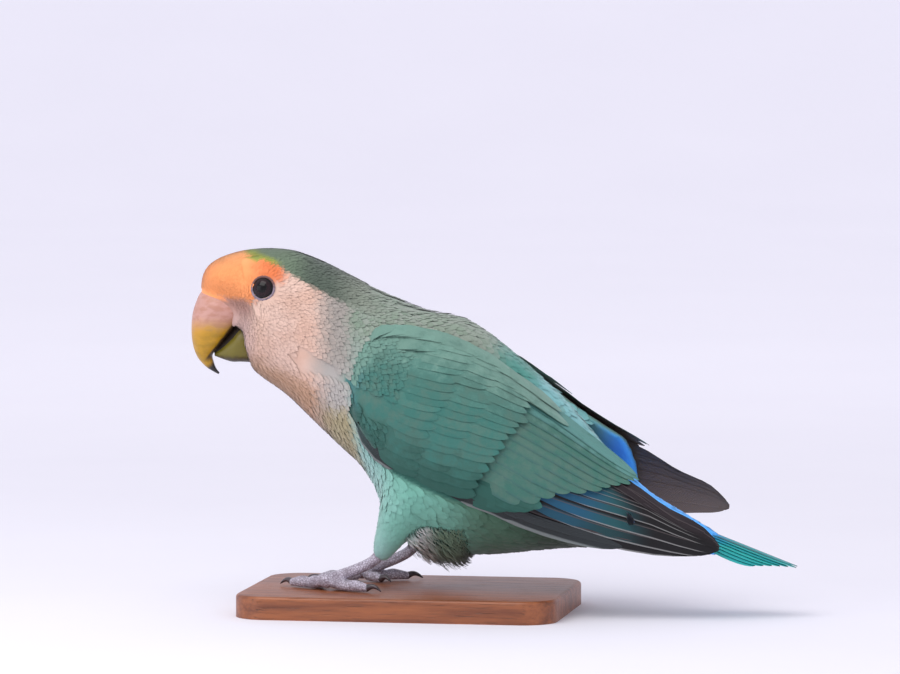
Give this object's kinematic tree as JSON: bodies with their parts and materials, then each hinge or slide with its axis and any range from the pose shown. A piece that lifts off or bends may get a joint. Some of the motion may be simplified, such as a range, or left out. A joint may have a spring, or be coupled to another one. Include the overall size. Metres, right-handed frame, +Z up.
{
  "type": "peach faced lovebird model",
  "caption": "Life-size still model of a small parrot, leaning forward on a flat wooden base.",
  "frame": {"origin": "centre of the wooden base's underside", "axes": "+Z up, the bird faces -X with its tail towards +X, and its left side towards -Y"},
  "size_m": [0.1581, 0.058, 0.0949],
  "materials": {
    "face_feathers": "soft matt feathers",
    "neck_feathers": "soft matt feathers",
    "body_feathers": "soft matt feathers",
    "wing_feathers": "close smooth feathers",
    "tail_feathers": "close smooth feathers",
    "foot_skin": "scaly skin",
    "eye": "wet gloss",
    "bill": "horn with a low sheen",
    "base_wood": "satin stained wood"
  },
  "bodies": {
    "root": {"head": "face_feathers", "neck": "neck_feathers", "torso": "body_feathers", "tail": "tail_feathers", "wing_left": "wing_feathers", "wing_right": "wing_feathers", "thigh_left": "body_feathers", "thigh_right": "body_feathers", "foot_left": "foot_skin", "foot_right": "foot_skin", "eye_left": "eye", "eye_right": "eye", "bill_upper": "bill", "bill_lower": "bill", "stand_base": "base_wood"}
  },
  "joints": []
}
